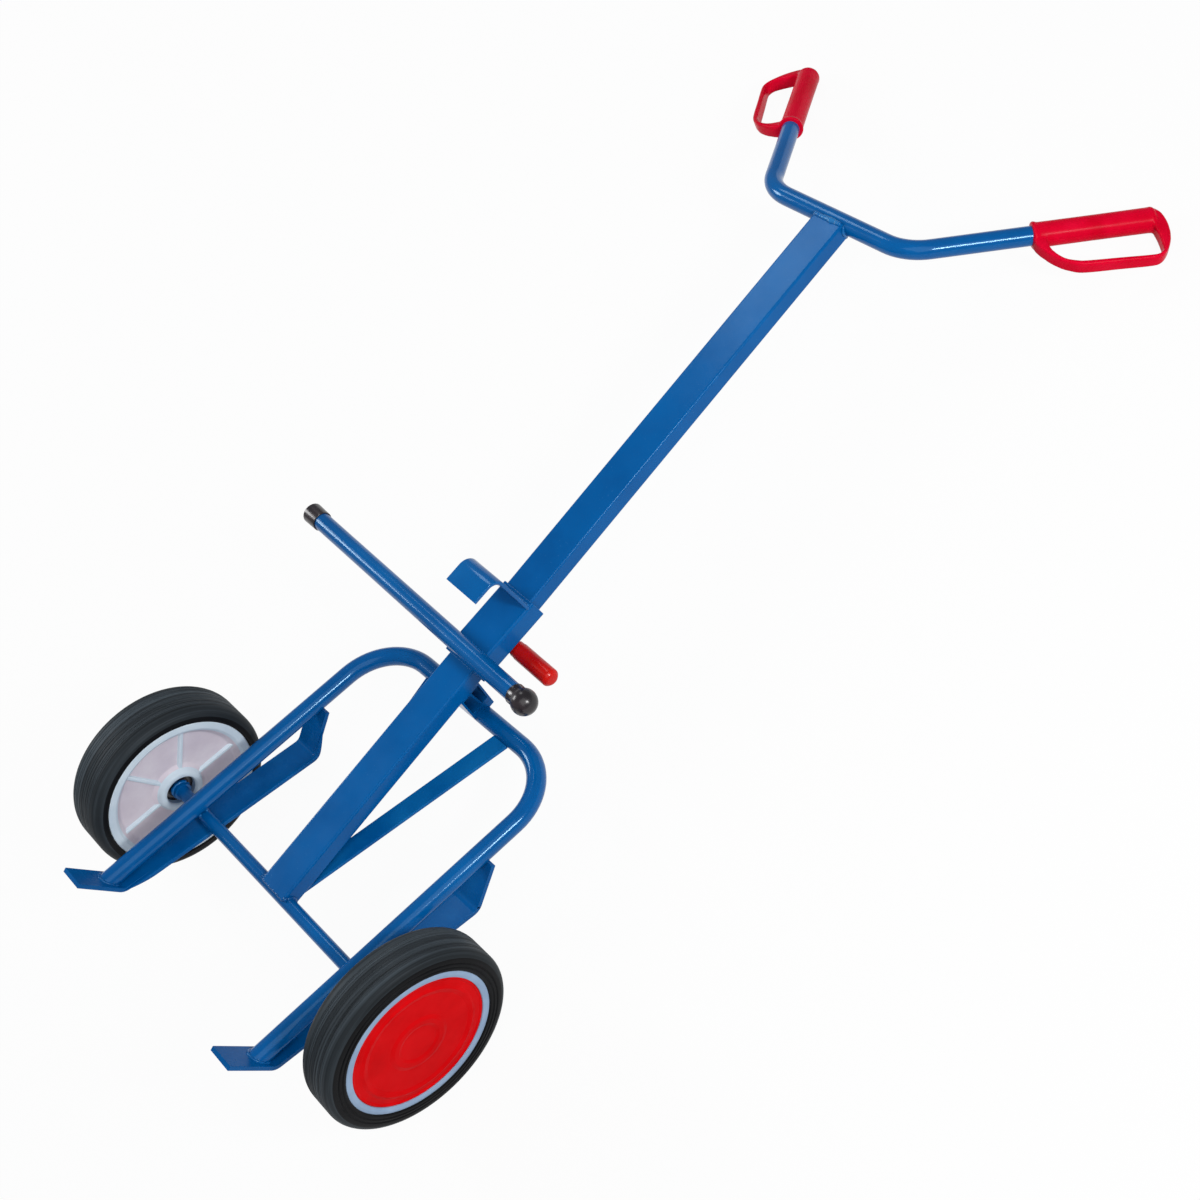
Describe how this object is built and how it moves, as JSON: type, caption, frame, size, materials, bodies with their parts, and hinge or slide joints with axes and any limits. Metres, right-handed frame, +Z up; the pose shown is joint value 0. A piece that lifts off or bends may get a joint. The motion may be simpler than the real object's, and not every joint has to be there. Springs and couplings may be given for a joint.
{
  "type": "drum trolley",
  "caption": "Two-wheeled drum trolley with bent tube frame, toe strips, spine with a sliding rim hook and lock lever, and a splayed handlebar with guarded grips.",
  "frame": {"origin": "middle of the footprint, on the floor, with the trolley lying back on its tyres and grip ends", "axes": "+X to the right as seen from the drum side, +Y along the spine from the axle to the handlebar, +Z up, towards the drum side"},
  "size_m": [0.7106, 1.4914, 0.25],
  "materials": {
    "blue_paint": "gloss",
    "red_grip": "gloss",
    "red_cap": "satin",
    "red_lever": "gloss",
    "black_plastic": "gloss",
    "tyre_rubber": "matte",
    "hub_plastic": "satin",
    "zinc_steel": "satin"
  },
  "bodies": {
    "frame": {"spine_tube": "blue_paint", "axle_rod": "blue_paint", "u_frame_tube": "blue_paint", "left_toe_strip": "blue_paint", "right_toe_strip": "blue_paint", "spine_bracket": "blue_paint", "left_brace": "blue_paint", "right_brace": "blue_paint", "handlebar_tube": "blue_paint", "left_grip": "red_grip", "right_grip": "red_grip", "left_axle_collar": "blue_paint", "right_axle_collar": "blue_paint", "left_axle_retainer": "zinc_steel", "right_axle_retainer": "zinc_steel"},
    "carriage": {"carriage_sleeve": "blue_paint", "rim_hook": "blue_paint", "cross_bar": "blue_paint", "left_bar_cap": "black_plastic", "right_bar_cap": "black_plastic", "lever_bracket": "blue_paint", "lever_pin": "zinc_steel"},
    "lever": {"lock_lever": "zinc_steel", "lever_grip": "red_lever"},
    "left_wheel": {"left_tyre": "tyre_rubber", "left_hub": "hub_plastic", "left_bush": "black_plastic", "left_hub_cap": "red_cap"},
    "right_wheel": {"right_tyre": "tyre_rubber", "right_hub": "hub_plastic", "right_bush": "black_plastic", "right_hub_cap": "red_cap"}
  },
  "joints": [
    {"name": "carriage_slide", "type": "slide", "parent": "frame", "child": "carriage", "axis": [0, 1, 0], "range_m": [-0.004, 0.61]},
    {"name": "lever_swing", "type": "hinge", "parent": "carriage", "child": "lever", "pos_m": [0.00747, -0.17079, 0.0975], "axis": [0.0349, 0.9994, 0], "range_deg": [0, 50]},
    {"name": "left_wheel_spin", "type": "hinge", "parent": "frame", "child": "left_wheel", "pos_m": [-0.26458, -0.59178, 0.125], "axis": [1, 0, 0], "continuous": true},
    {"name": "right_wheel_spin", "type": "hinge", "parent": "frame", "child": "right_wheel", "pos_m": [0.27942, -0.59178, 0.125], "axis": [1, 0, 0], "continuous": true}
  ]
}
